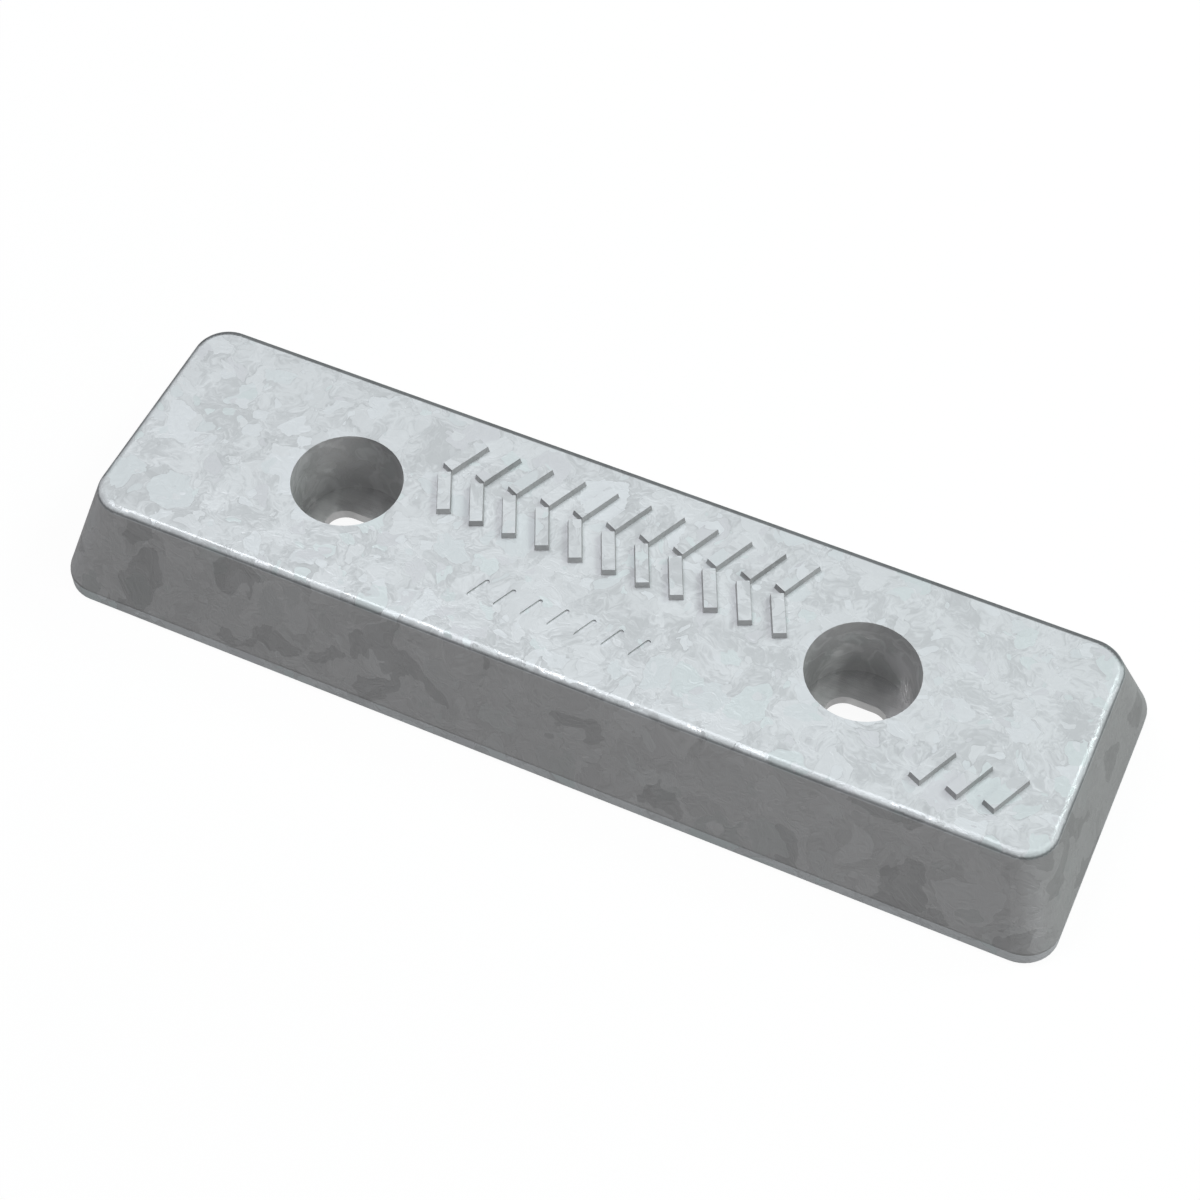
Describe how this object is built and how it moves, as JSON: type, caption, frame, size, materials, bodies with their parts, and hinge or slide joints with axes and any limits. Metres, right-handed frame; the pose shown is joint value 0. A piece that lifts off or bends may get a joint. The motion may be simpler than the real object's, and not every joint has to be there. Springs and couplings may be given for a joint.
{
  "type": "sacrificial anode",
  "caption": "Rectangular zinc hull anode with sloping sides, cast round a slotted steel strip that bolts to hull studs through recessed bores.",
  "frame": {"origin": "centre of the flat hull face, on the plane that sits against the hull", "axes": "+X along the bar, through both studs, towards the end that has three raised bars of its own; +Z away from the hull; +Y towards the long edge beside the two rows of bars"},
  "size_m": [0.2314, 0.073, 0.0272],
  "materials": {
    "cast_zinc": "satin",
    "strip_steel": "satin"
  },
  "bodies": {
    "root": {"zinc_body": "cast_zinc", "mounting_strip": "strip_steel"}
  },
  "joints": []
}
